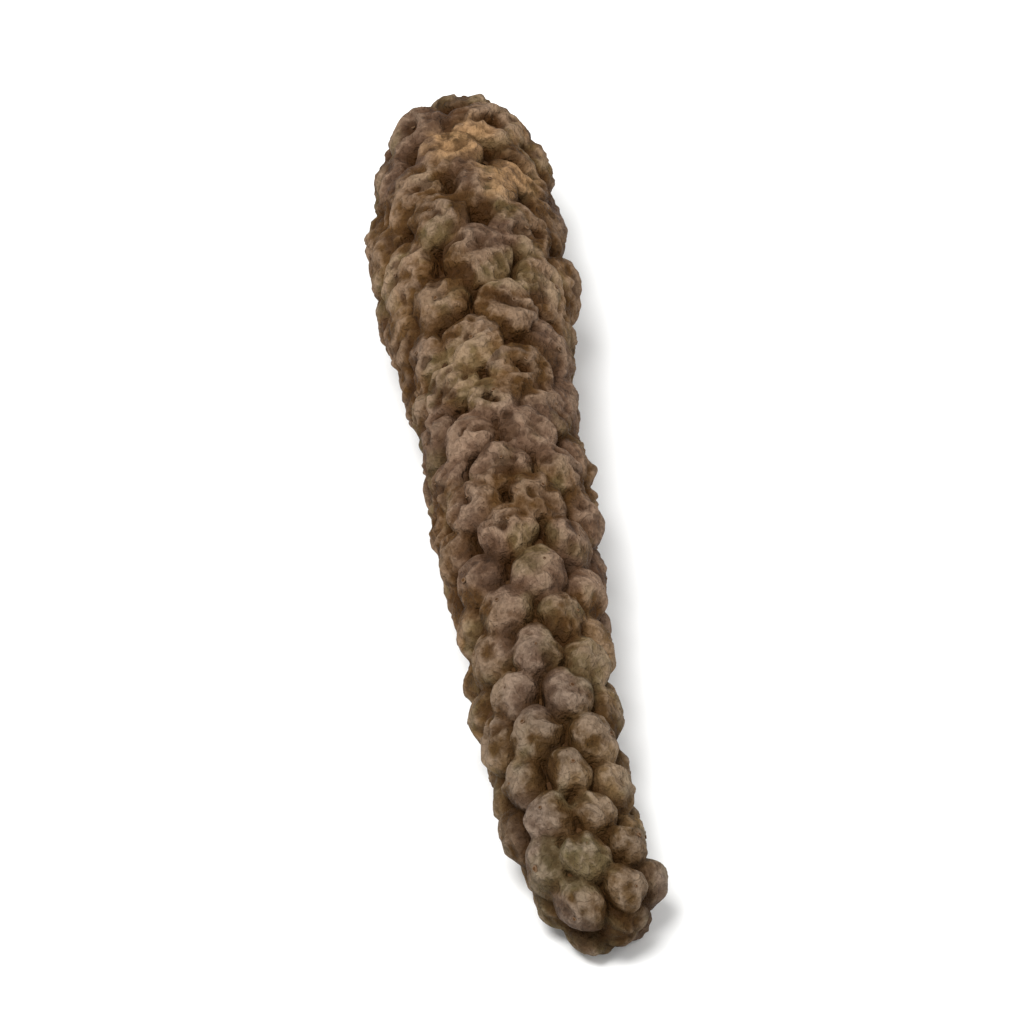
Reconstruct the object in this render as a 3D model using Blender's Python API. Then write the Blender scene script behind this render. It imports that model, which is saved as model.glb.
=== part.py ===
"""One dried long pepper: a slender, slightly arched fruit spike covered all over in small fused berries.

Metres, +Z up. The spike lies on its side along X, with its stalk end at -X and its tip at +X. The origin is under
the middle of its box, on the surface that it lies on. Every place on the skin is given by two numbers: along, the
distance over the core from the stalk pole, and turn, the angle round the axis, 0 at +Y and a quarter turn at +Z.
"""

import math

import bmesh
import bpy
import numpy as np
from mathutils.geometry import delaunay_2d_cdt

MM = 0.001
FULL_TURN = 2 * math.pi

# The spike's outline, over the berries: shares of the length from the stalk end, and diameters there.
SPIKE_LENGTH = 39.5 * MM
CREST_DIAMETERS = (
    (0.00, 6.3 * MM),
    (0.10, 6.8 * MM),
    (0.24, 7.5 * MM),
    (0.33, 6.6 * MM),
    (0.42, 5.9 * MM),
    (0.52, 6.2 * MM),
    (0.59, 6.1 * MM),
    (0.69, 5.3 * MM),
    (0.86, 5.1 * MM),
    (1.00, 4.5 * MM),
)
OUTLINE_SOFTENING = 1.3 * MM
OUTLINE_SAMPLES = 1001
SOFTENING_SAMPLES = 100
STALK_CAP = 2.8 * MM
STALK_CAP_POWER = 2.3
TIP_CAP = 2.2 * MM
TIP_CAP_POWER = 2.6
STALK_END_INSET = 0.6 * MM
TIP_END_INSET = 0.5 * MM

# The berries. Each is a dome that stands out of the core. They are largest on the thick part and small at both
# ends: shares of the length from the stalk end, and the closest that two berries sit there.
BERRY_SPACINGS = (
    (0.00, 1.70 * MM),
    (0.12, 2.42 * MM),
    (0.34, 2.42 * MM),
    (0.44, 1.95 * MM),
    (0.86, 1.95 * MM),
    (1.00, 1.50 * MM),
)
ROW_RISE = 1.8 * MM
ROLL = math.radians(218)
BERRY_RELIEF = 0.80 * MM
BERRY_SPREAD = 0.60
DOME_POWER = 1.9
DOME_SHAPE = 0.8
SIZE_VARIES = 0.04
RELIEF_VARIES = 0.10
RELIEF_LIMITS = (0.6, 1.2)
PLACE_VARIES = 0.06 * MM
DIMPLED_SHARE = 0.6
DIMPLE_DEPTH = 0.14 * MM
DIMPLE_VARIES = (0.4, 1.0)
DIMPLE_WIDTH = 0.30
TIP_BERRY_RELIEF = 0.50 * MM
SEED = 11

# The stub of the stalk, broken off short, at the middle of the stalk end.
STALK_RADIUS = 0.95 * MM
STALK_RELIEF = 0.75 * MM
STALK_FLATNESS = 6

# The centreline: how far it bows sideways and upwards, and how high it lies.
SIDE_BOW = -0.75 * MM
BOW_POWER = 4
TIP_HOOK = 1.20 * MM
HOOK_POWER = 3
HOOK_START = 0.84
ARCH = 0.75 * MM
ARCH_MIDDLE = 0.54
ARCH_HALF_SPAN = 0.34
STALK_REST_HEIGHT = 3.35 * MM
TIP_REST_HEIGHT = 2.31 * MM
STALK_REST_SHARE = 0.20
TIP_REST_SHARE = 0.88
SIDE_SHIFT = 0.40 * MM

# How finely the places are searched, and how the settling runs.
PROFILE_STEPS = 1600
SEARCH_STEP = 0.04 * MM
SEARCH_TURNS = 360
SETTLE_STEP = 0.14 * MM
SETTLE_TURNS = 120
SETTLE_ROUNDS = 10
CROWDING_POWER = 4
POLE_POINTS = 24
POLE_GAP = 1.0
POLE_RADIUS = 1e-6
SLOPE_STEP = 1e-4
MERGE_GAP = 1e-9

# The rings of points on each berry, as shares of the way from its middle to its edge.
OUTER_RING = 0.64
INNER_RING = 0.30

SKIN_COLOUR = (0.105, 0.072, 0.045, 1.0)
SKIN_ROUGHNESS = 0.78


class Core:
    """The body under the berries: a profile turned round the axis, measured by the distance along its outline."""

    def __init__(self):
        sweep = np.linspace(0, math.pi, PROFILE_STEPS)
        start, end = STALK_END_INSET, SPIKE_LENGTH - TIP_END_INSET
        x = start + (end - start) * (1 - np.cos(sweep)) / 2
        crest = self.softened_crest(x)
        stalk_side = np.clip((x - start) / STALK_CAP, 0, 1)
        tip_side = np.clip((end - x) / TIP_CAP, 0, 1)
        stalk_cap = (1 - (1 - stalk_side) ** STALK_CAP_POWER) ** (1 / STALK_CAP_POWER)
        tip_cap = (1 - (1 - tip_side) ** TIP_CAP_POWER) ** (1 / TIP_CAP_POWER)
        radius = (crest - BERRY_RELIEF) * stalk_cap * tip_cap
        step = np.hypot(np.diff(x), np.diff(radius))
        self.along = np.concatenate([[0], np.cumsum(step)])
        self.x, self.radius = x, radius
        rise, reach = np.gradient(radius, self.along), np.gradient(x, self.along)
        size = np.hypot(rise, reach)
        self.lean_x, self.lean_out = -rise / size, reach / size
        self.total = self.along[-1]
        per_radius = step / np.maximum((radius[1:] + radius[:-1]) / 2, POLE_RADIUS)
        self.even = np.concatenate([[0], np.cumsum(per_radius)])

    @staticmethod
    def softened_crest(x):
        """The radius over the berries: straight runs between the stations, softened by a running mean."""
        shares, diameters = np.array(CREST_DIAMETERS).T
        fine = np.linspace(0, 1, OUTLINE_SAMPLES)
        spread = OUTLINE_SOFTENING / SPIKE_LENGTH
        offsets = np.arange(-SOFTENING_SAMPLES, SOFTENING_SAMPLES + 1) * fine[1]
        weights = np.exp(-((offsets / spread) ** 2))
        raw = np.pad(np.interp(fine, shares, diameters / 2), SOFTENING_SAMPLES, mode="edge")
        soft = np.convolve(raw, weights / weights.sum(), mode="valid")
        return np.interp(x / SPIKE_LENGTH, fine, soft)

    def radius_at(self, along):
        return np.interp(along, self.along, self.radius)

    def even_at(self, along):
        """Distance along the outline counted in local radii, so that an unrolled strip has one scale both ways."""
        return np.interp(along, self.along, self.even)

    def spacing_at(self, along):
        """The closest that berries sit to each other there."""
        shares, spacings = np.array(BERRY_SPACINGS).T
        return np.interp(along / self.total, shares, spacings)

    def point(self, along, turn, height):
        """The straight spike's point at a place on the core, raised by height along the core's normal."""
        x = np.interp(along, self.along, self.x) + height * np.interp(along, self.along, self.lean_x)
        out = self.radius_at(along) + height * np.interp(along, self.along, self.lean_out)
        return np.stack([x, out * np.cos(turn), out * np.sin(turn)], axis=-1)

    def middle(self, along, turn, shares):
        """The place at the weighted middle of several places, which lie along the last axis."""
        weight = shares * self.radius_at(along)
        side, up = (weight * np.cos(turn)).sum(-1), (weight * np.sin(turn)).sum(-1)
        return (shares * along).sum(-1), np.arctan2(up, side)


class Berries:
    """Where the berries sit and how big each is. The last one is the tip's own, on the pole."""

    def __init__(self, core):
        self.core = core
        draw = np.random.default_rng(SEED)
        self.along, self.turn = self.stacked()
        self.settle()
        self.turn += ROLL
        count = len(self.along)
        self.along[:-1] += draw.normal(0, PLACE_VARIES, count - 1)
        self.turn[:-1] += draw.normal(0, PLACE_VARIES, count - 1) / core.radius_at(self.along[:-1])
        self.pitch = self.shares_of_skin()[2]
        self.middle = core.point(self.along, self.turn, BERRY_RELIEF / 2)
        self.radius = BERRY_SPREAD * self.pitch * (1 + draw.normal(0, SIZE_VARIES, count))
        self.relief = BERRY_RELIEF * (1 + draw.normal(0, RELIEF_VARIES, count)).clip(*RELIEF_LIMITS)
        self.relief[-1] = TIP_BERRY_RELIEF
        dimpled = draw.random(count) < DIMPLED_SHARE
        self.dimple = DIMPLE_DEPTH * dimpled * draw.uniform(*DIMPLE_VARIES, count)

    def stacked(self):
        """Each new berry takes the lowest free place above the stalk, as they form on the young spike.

        The first round climbs by one row, so the berries wind up the spike in one long spiral.
        """
        core = self.core
        first = STALK_RADIUS + BERRY_SPACINGS[0][1] / 2
        along, turn = np.meshgrid(
            np.arange(first, core.total, SEARCH_STEP),
            np.arange(SEARCH_TURNS) * FULL_TURN / SEARCH_TURNS,
            indexing="ij",
        )
        along, turn = along.ravel(), turn.ravel()
        places = core.point(along, turn, BERRY_RELIEF / 2)
        spacing = core.spacing_at(along)
        tip = core.point(core.total, 0.0, BERRY_RELIEF / 2)
        free = along >= first + ROW_RISE * (1 - turn / FULL_TURN)
        free &= np.linalg.norm(places - tip, axis=1) >= spacing
        found = []
        while free.any():
            lowest = int(np.argmin(np.where(free, along, np.inf)))
            found.append((along[lowest], turn[lowest]))
            free &= np.linalg.norm(places - places[lowest], axis=1) >= spacing
        found.append((core.total, 0.0))
        return np.array(found).T

    def shares_of_skin(self):
        """The middle of the skin nearest to each berry, and the pitch of berries that would share it evenly."""
        core = self.core
        along, turn = np.meshgrid(
            np.arange(STALK_RADIUS, core.total, SETTLE_STEP),
            np.arange(SETTLE_TURNS) * FULL_TURN / SETTLE_TURNS,
            indexing="ij",
        )
        along, turn = along.ravel(), turn.ravel()
        places = core.point(along, turn, BERRY_RELIEF / 2)
        middles = core.point(self.along, self.turn, BERRY_RELIEF / 2)
        nearest, gap = np.zeros(len(along), int), np.full(len(along), np.inf)
        for number, middle in enumerate(middles):
            distance = np.linalg.norm(places - middle, axis=1)
            nearest[distance < gap] = number
            gap = np.minimum(gap, distance)
        area = (core.radius_at(along) + BERRY_RELIEF / 2) * SETTLE_STEP * FULL_TURN / SETTLE_TURNS
        weight = area / core.spacing_at(along) ** CROWDING_POWER

        def gathered(values):
            return np.bincount(nearest, values, len(middles))

        new_along = gathered(weight * along) / gathered(weight)
        new_turn = np.arctan2(gathered(weight * np.sin(turn)), gathered(weight * np.cos(turn)))
        return new_along, new_turn, np.sqrt(gathered(area) * 2 / math.sqrt(3))

    def settle(self):
        """Evens out the crowding: each berry moves to the middle of its own share of the skin."""
        for _ in range(SETTLE_ROUNDS):
            along, turn, _ = self.shares_of_skin()
            self.along[:-1], self.turn[:-1] = along[:-1], turn[:-1]

    def height(self, along, turn):
        """Height over the core: the highest of the domes there, each with its own size and dimple."""
        here = self.core.point(along, turn, BERRY_RELIEF / 2)
        stub = np.clip(along / STALK_RADIUS, 0, 1)
        height = STALK_RELIEF * np.sqrt(1 - stub**STALK_FLATNESS)
        for middle, radius, relief, dimple in zip(self.middle, self.radius, self.relief, self.dimple):
            reach = np.linalg.norm(here - middle, axis=-1) / radius
            dome = relief * np.maximum(0, 1 - reach**DOME_POWER) ** DOME_SHAPE
            dome -= dimple * np.exp(-((reach / DIMPLE_WIDTH) ** 2))
            height = np.maximum(height, dome)
        return height


def bent(points):
    """The straight spike's points carried onto the arched centreline, with each cross-section square to it."""
    x, side, up = np.moveaxis(points, -1, 0)
    share = x / SPIKE_LENGTH

    def centre(share):
        hook = np.maximum(0, share - HOOK_START) / (1 - HOOK_START)
        sideways = SIDE_BOW * (1 - (2 * share - 1) ** BOW_POWER) + TIP_HOOK * hook**HOOK_POWER
        fall = (share - STALK_REST_SHARE) / (TIP_REST_SHARE - STALK_REST_SHARE)
        line = STALK_REST_HEIGHT + (TIP_REST_HEIGHT - STALK_REST_HEIGHT) * fall
        arch = ARCH * (1 - ((share - ARCH_MIDDLE) / ARCH_HALF_SPAN) ** 2)
        length = (share - 0.5) * SPIKE_LENGTH
        return np.stack([length, sideways + SIDE_SHIFT, line + arch], axis=-1)

    ahead = centre(share + SLOPE_STEP) - centre(share - SLOPE_STEP)
    ahead /= np.linalg.norm(ahead, axis=-1, keepdims=True)
    across = np.stack([-ahead[..., 1], ahead[..., 0], np.zeros_like(x)], axis=-1)
    across /= np.linalg.norm(across, axis=-1, keepdims=True)
    upright = np.cross(ahead, across)
    return centre(share) + side[..., None] * across + up[..., None] * upright


def neighbours(core, berries):
    """The threes of touching berries. The skin is unrolled into an even strip and laid three times side by side.

    A row of points past each end stands for the pole there: the stalk's, or the tip berry itself.
    """
    stalk, tip = len(berries.along), len(berries.along) - 1
    reach = core.even_at(berries.along[:-1])
    places, owners, laps = [], [], []

    def add(even, turn, owner, lap):
        places.append((even, turn + lap * FULL_TURN))
        owners.append(owner)
        laps.append(lap)

    for lap in (-1, 0, 1):
        for number, (even, turn) in enumerate(zip(reach, berries.turn[:-1] % FULL_TURN)):
            add(even, turn, number, lap)
        for step in range(POLE_POINTS):
            turn = FULL_TURN * step / POLE_POINTS
            add(reach.min() - POLE_GAP, turn, stalk, lap)
            add(reach.max() + POLE_GAP, turn, tip, lap)
    _, _, faces, sources, _, _ = delaunay_2d_cdt(places, [], [], 0, MERGE_GAP)
    threes = []
    for face in faces:
        corners = [sources[vertex][0] for vertex in face]
        names = [owners[corner] for corner in corners]
        lowest = names.index(min(names))
        if len(set(names)) == 3 and laps[corners[lowest]] == 0:
            threes.append(names)
    return threes


def skin_mesh(core, berries):
    """Points and faces of the skin: each berry is a dome of rings, joined to its neighbours along its edge."""
    threes = neighbours(core, berries)
    along = np.append(berries.along, 0.0)
    turn = np.append(berries.turn, 0.0)
    places, faces = [], []

    def add(members, shares):
        """A new point at the weighted middle of members, each a place of the skin."""
        spots = np.array(members)
        places.append(core.middle(spots[:, 0], spots[:, 1], np.array(shares)))
        return len(places) - 1

    spot_of = list(zip(along, turn))
    pits = [add([spot_of[name] for name in three], [1 / 3] * 3) for three in threes]
    valleys = {}
    following = [{} for _ in along]
    for pit, (a, b, c) in zip(pits, threes):
        for own, left, right in ((a, b, c), (b, c, a), (c, a, b)):
            following[own][left] = (right, pit)
            pair = frozenset((own, left))
            if pair not in valleys:
                valleys[pair] = add([spot_of[own], spot_of[left]], [0.5, 0.5])

    for own, ways in enumerate(following):
        edge, left = [], next(iter(ways))
        for _ in ways:
            right, pit = ways[left]
            edge += [valleys[frozenset((own, left))], pit]
            left = right

        def ring(members, share):
            return [add([spot_of[own], places[point]], [1 - share, share]) for point in members]

        outer, inner = ring(edge, OUTER_RING), ring(edge[::2], INNER_RING)
        top = add([spot_of[own]], [1.0])
        count = len(edge)
        for i in range(count):
            j = (i + 1) % count
            faces.append((edge[i], edge[j], outer[j], outer[i]))
        for i in range(0, count, 2):
            k, m = i // 2, (i // 2 + 1) % len(inner)
            faces.append((outer[i], outer[i + 1], inner[k]))
            faces.append((outer[i + 1], outer[(i + 2) % count], inner[m]))
            faces.append((outer[i + 1], inner[m], inner[k]))
            faces.append((inner[k], inner[m], top))
    spots = np.array(places)
    height = berries.height(spots[:, 0], spots[:, 1])
    points = bent(core.point(spots[:, 0], spots[:, 1], height))
    points[:, 2] = np.maximum(points[:, 2], 0)
    return points, faces


def skin_material():
    """Dull, dusty brown of the dried skin."""
    material = bpy.data.materials.new("dried_pepper_skin")
    material.use_nodes = True
    shader = material.node_tree.nodes["Principled BSDF"]
    shader.inputs["Base Color"].default_value = SKIN_COLOUR
    shader.inputs["Roughness"].default_value = SKIN_ROUGHNESS
    shader.inputs["Metallic"].default_value = 0.0
    return material


def build_spike():
    core = Core()
    points, faces = skin_mesh(core, Berries(core))
    mesh = bpy.data.meshes.new("pepper_spike")
    mesh.from_pydata([tuple(point) for point in points], [], faces)
    body = bmesh.new()
    body.from_mesh(mesh)
    bmesh.ops.recalc_face_normals(body, faces=body.faces)
    bmesh.ops.triangulate(body, faces=body.faces)
    body.to_mesh(mesh)
    body.free()
    mesh.shade_smooth()
    mesh.materials.append(skin_material())
    spike = bpy.data.objects.new("pepper_spike", mesh)
    bpy.context.scene.collection.objects.link(spike)
    return spike


def main():
    for leftover in list(bpy.data.objects):
        bpy.data.objects.remove(leftover)
    build_spike()


main()
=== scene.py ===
"""One dried long pepper, dressed: the fine skin of its berries, the small scales between them, what is left of the
flowers on their crowns, and the torn stub of the stalk, on a plain pale floor.

Metres, +Z up, in the frame of the solid that it stands for. Every place on the skin is given by two numbers:
along, the distance over the core from the stalk pole, and turn, the angle round the axis, 0 at +Y.
"""

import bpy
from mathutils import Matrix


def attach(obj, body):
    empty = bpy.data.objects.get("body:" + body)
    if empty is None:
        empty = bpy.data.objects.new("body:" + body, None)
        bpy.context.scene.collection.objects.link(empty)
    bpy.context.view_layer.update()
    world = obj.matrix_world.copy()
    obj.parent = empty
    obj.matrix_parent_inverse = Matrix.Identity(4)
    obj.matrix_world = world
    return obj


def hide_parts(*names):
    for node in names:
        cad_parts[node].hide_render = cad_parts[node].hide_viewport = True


bl_info = {
    "name": "Dried Long Pepper",
    "version": (1, 0, 0),
    "blender": (4, 5, 0),
    "location": "3D View > Sidebar > Long Pepper",
    "description": "Builds the finished surface of one dried long pepper around its solid",
    "category": "Add Mesh",
}

import functools
import math

import bpy
import numpy as np

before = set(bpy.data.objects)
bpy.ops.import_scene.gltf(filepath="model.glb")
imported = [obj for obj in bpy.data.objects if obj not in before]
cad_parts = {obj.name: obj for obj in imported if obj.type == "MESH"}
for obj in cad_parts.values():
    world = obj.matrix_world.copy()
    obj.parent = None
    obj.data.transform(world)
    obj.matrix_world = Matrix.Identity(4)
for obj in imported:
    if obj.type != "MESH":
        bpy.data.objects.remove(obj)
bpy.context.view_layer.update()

MM = 0.001
FULL_TURN = 2 * math.pi
SLOT = "dried_pepper_skin"

# The solid's own sizes, which place the berries. The skin follows them, so they aren't for a user to change.
SPIKE_LENGTH = 39.5 * MM
CREST_DIAMETERS = (
    (0.00, 6.3 * MM),
    (0.10, 6.8 * MM),
    (0.24, 7.5 * MM),
    (0.33, 6.6 * MM),
    (0.42, 5.9 * MM),
    (0.52, 6.2 * MM),
    (0.59, 6.1 * MM),
    (0.69, 5.3 * MM),
    (0.86, 5.1 * MM),
    (1.00, 4.5 * MM),
)
OUTLINE_SOFTENING = 1.3 * MM
OUTLINE_SAMPLES = 1001
SOFTENING_SAMPLES = 100
STALK_CAP = 2.8 * MM
STALK_CAP_POWER = 2.3
TIP_CAP = 2.2 * MM
TIP_CAP_POWER = 2.6
STALK_END_INSET = 0.6 * MM
TIP_END_INSET = 0.5 * MM
BERRY_SPACINGS = (
    (0.00, 1.70 * MM),
    (0.12, 2.42 * MM),
    (0.34, 2.42 * MM),
    (0.44, 1.95 * MM),
    (0.86, 1.95 * MM),
    (1.00, 1.50 * MM),
)
ROW_RISE = 1.8 * MM
ROLL = math.radians(218)
BERRY_RELIEF = 0.80 * MM
BERRY_SPREAD = 0.60
DOME_POWER = 1.9
DOME_SHAPE = 0.8
SIZE_VARIES = 0.04
RELIEF_VARIES = 0.10
RELIEF_LIMITS = (0.6, 1.2)
PLACE_VARIES = 0.06 * MM
DIMPLED_SHARE = 0.6
DIMPLE_DEPTH = 0.14 * MM
DIMPLE_VARIES = (0.4, 1.0)
DIMPLE_WIDTH = 0.30
TIP_BERRY_RELIEF = 0.50 * MM
SEED = 11
STALK_RADIUS = 0.95 * MM
STALK_RELIEF = 0.75 * MM
STALK_FLATNESS = 6
SIDE_BOW = -0.75 * MM
BOW_POWER = 4
TIP_HOOK = 1.20 * MM
HOOK_POWER = 3
HOOK_START = 0.84
ARCH = 0.75 * MM
ARCH_MIDDLE = 0.54
ARCH_HALF_SPAN = 0.34
STALK_REST_HEIGHT = 3.35 * MM
TIP_REST_HEIGHT = 2.31 * MM
STALK_REST_SHARE = 0.20
TIP_REST_SHARE = 0.88
SIDE_SHIFT = 0.40 * MM
PROFILE_STEPS = 1600
SEARCH_STEP = 0.04 * MM
SEARCH_TURNS = 360
SETTLE_STEP = 0.14 * MM
SETTLE_TURNS = 120
SETTLE_ROUNDS = 10
CROWDING_POWER = 4
SLOPE_STEP = 1e-4

# Seeds of the finer random draws, one for each kind of thing, and of the tables of random lumps.
SKIN_SEED = 21
SCALE_SEED = 23
FLOWER_SEED = 24
FIBRE_SEED = 25
COARSE_LUMP_SEED = 22
FINE_LUMP_SEED = 23
GRAZE_LUMP_SEED = 24
FOLD_LUMP_SEED = 25
WARP_LUMP_SEEDS = (26, 27, 28)
RIDGE_LUMP_SEED = 30
DENT_LUMP_SEED = 31
FINE_RIDGE_LUMP_SEED = 32


def length_property(name, description, default):
    """A small length that a user can change."""
    return bpy.props.FloatProperty(
        name=name, description=description, default=default, subtype="DISTANCE", unit="LENGTH", precision=5
    )


def colour_property(name, description, default):
    """A colour that a user can change, as linear red, green and blue."""
    return bpy.props.FloatVectorProperty(
        name=name, description=description, default=default, subtype="COLOR", size=3, min=0, max=1
    )


class SkinSizes(bpy.types.PropertyGroup):
    """Sizes of the fine skin and of the small things on it."""

    columns: bpy.props.IntProperty(
        name="Columns", description="Points round the spike", default=216, min=24, max=216
    )
    rows: bpy.props.IntProperty(
        name="Rows", description="Rings of points along the spike", default=456, min=40, max=456
    )
    crater_depth: length_property("Crater depth", "How far the hole of a collapsed berry has sunk", 0.38 * MM)
    wrinkle_depth: length_property(
        "Wrinkle depth", "Height of the folds that run from a berry's crown to its edge", 0.075 * MM
    )
    ridge_depth: length_property(
        "Ridge depth", "Height of the narrow little ridges where the skin has shrunk", 0.05 * MM
    )
    lump_depth: length_property("Lump depth", "Height of the uneven lumps all over the skin", 0.065 * MM)
    scale_radius: length_property(
        "Scale radius", "Radius of the small scales that sit in the hollows between berries", 0.20 * MM
    )
    flower_rest_radius: length_property(
        "Flower rest radius", "Radius of what is left of the flower on a berry's crown", 0.095 * MM
    )
    fibre_length: length_property(
        "Fibre length", "Length of the longest fibre that stands out of the broken stalk", 0.50 * MM
    )
    fibres: bpy.props.IntProperty(
        name="Fibres", description="Number of fibres on the broken stalk", default=46, min=0, max=200
    )


class SkinColours(bpy.types.PropertyGroup):
    """Colours of the dried skin and the broken stalk."""

    # pit is painted shade: the near-black put in the hollows, holes, dents and creases and mixed into the scales
    # there. It is also the flower rests' own near-black.
    pit: colour_property("Hollows", "The deep hollows between berries", (0.033, 0.0120, 0.0022))
    flank: colour_property("Flanks", "The sides of the berries", (0.095, 0.045, 0.0128))
    # crown is dust and painted highlight: the skin is painted this pale where it stands highest. It also paints the
    # rims beside the holes, the scales' rims and the flower rests' lips.
    crown: colour_property("Crowns", "The rubbed, dusty crowns of the berries", (0.255, 0.172, 0.115))
    warm: colour_property("Warm skin", "Skin that dried orange-brown", (0.200, 0.108, 0.042))
    mauve: colour_property("Mauve skin", "Skin that dried mauve-brown", (0.150, 0.088, 0.058))
    green: colour_property("Green skin", "Skin that dried greenish brown", (0.140, 0.105, 0.046))
    graze: colour_property("Rubbed patch", "The patch near the stalk that has lost its skin", (0.360, 0.205, 0.095))
    wood: colour_property("Stalk wood", "The pale inside of the broken stalk", (0.330, 0.215, 0.115))


class StageSettings(bpy.types.PropertyGroup):
    """The floor, the lights and the camera."""

    azimuth: bpy.props.FloatProperty(
        name="Azimuth",
        description="Where the camera stands: 0 looks along +Y and 90 along -X",
        default=math.radians(83),
        subtype="ANGLE",
        unit="ROTATION",
    )
    elevation: bpy.props.FloatProperty(
        name="Elevation",
        description="How far above the floor the camera looks down from",
        default=math.radians(44),
        subtype="ANGLE",
        unit="ROTATION",
    )
    lens: bpy.props.FloatProperty(
        name="Lens", description="Focal length in millimetres", default=400, subtype="DISTANCE_CAMERA"
    )
    filled: bpy.props.FloatProperty(
        name="Filled share", description="Share of the picture's height that the spike takes", default=0.84
    )
    key_power: bpy.props.FloatProperty(
        name="Key light", description="Power of the main soft light", default=2.7, subtype="POWER", unit="POWER"
    )
    fill_power: bpy.props.FloatProperty(
        name="Fill light", description="Power of the weaker soft light", default=0.5, subtype="POWER", unit="POWER"
    )
    sky_strength: bpy.props.FloatProperty(
        name="Sky", description="Strength of the even light from all round", default=0.68
    )
    floor_colour: colour_property("Floor", "The plain pale floor", (0.86, 0.86, 0.85))


class Core:
    """The body under the berries: a profile turned round the axis, measured by the distance along its outline.

    The radius is half the outline's width less the berries' relief, closed at each end by a blunt cap that
    falls as (1 - (1 - u)^p)^(1/p), where u runs from 0 at the pole to 1 where the cap ends.
    """

    def __init__(self):
        sweep = np.linspace(0, math.pi, PROFILE_STEPS)
        start, end = STALK_END_INSET, SPIKE_LENGTH - TIP_END_INSET
        x = start + (end - start) * (1 - np.cos(sweep)) / 2
        crest = self.softened_crest(x)
        stalk_side = np.clip((x - start) / STALK_CAP, 0, 1)
        tip_side = np.clip((end - x) / TIP_CAP, 0, 1)
        stalk_cap = (1 - (1 - stalk_side) ** STALK_CAP_POWER) ** (1 / STALK_CAP_POWER)
        tip_cap = (1 - (1 - tip_side) ** TIP_CAP_POWER) ** (1 / TIP_CAP_POWER)
        radius = (crest - BERRY_RELIEF) * stalk_cap * tip_cap
        step = np.hypot(np.diff(x), np.diff(radius))
        self.along = np.concatenate([[0], np.cumsum(step)])
        self.x, self.radius = x, radius
        rise, reach = np.gradient(radius, self.along), np.gradient(x, self.along)
        size = np.hypot(rise, reach)
        self.lean_x, self.lean_out = -rise / size, reach / size
        self.total = self.along[-1]

    @staticmethod
    def softened_crest(x):
        """The radius over the berries: straight runs between the stations, softened by a running mean."""
        shares, diameters = np.array(CREST_DIAMETERS).T
        fine = np.linspace(0, 1, OUTLINE_SAMPLES)
        spread = OUTLINE_SOFTENING / SPIKE_LENGTH
        offsets = np.arange(-SOFTENING_SAMPLES, SOFTENING_SAMPLES + 1) * fine[1]
        weights = np.exp(-((offsets / spread) ** 2))
        raw = np.pad(np.interp(fine, shares, diameters / 2), SOFTENING_SAMPLES, mode="edge")
        soft = np.convolve(raw, weights / weights.sum(), mode="valid")
        return np.interp(x / SPIKE_LENGTH, fine, soft)

    def radius_at(self, along):
        """The core's radius there."""
        return np.interp(along, self.along, self.radius)

    def spacing_at(self, along):
        """The closest that berries sit to each other there."""
        shares, spacings = np.array(BERRY_SPACINGS).T
        return np.interp(along / self.total, shares, spacings)

    def point(self, along, turn, height):
        """The straight spike's point at a place on the core, raised by height along the core's normal."""
        x = np.interp(along, self.along, self.x) + height * np.interp(along, self.along, self.lean_x)
        out = self.radius_at(along) + height * np.interp(along, self.along, self.lean_out)
        return np.stack([x, out * np.cos(turn), out * np.sin(turn)], axis=-1)

    def frame_at(self, along, turn):
        """Three unit vectors at a place of the straight spike: out of the skin, towards the tip, and round."""
        lean_x = np.interp(along, self.along, self.lean_x)
        lean_out = np.interp(along, self.along, self.lean_out)
        cos, sin = np.cos(turn), np.sin(turn)
        outward = np.stack([lean_x, lean_out * cos, lean_out * sin], axis=-1)
        ahead = np.stack([lean_out, -lean_x * cos, -lean_x * sin], axis=-1)
        across = np.stack([np.zeros_like(cos), -sin, cos], axis=-1)
        return outward, ahead, across


def skin_grid(along, turns):
    """Every place with one of those alongs and one of so many even turns: two arrays, a row for each along."""
    return np.meshgrid(along, np.arange(turns) * FULL_TURN / turns, indexing="ij")


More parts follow.
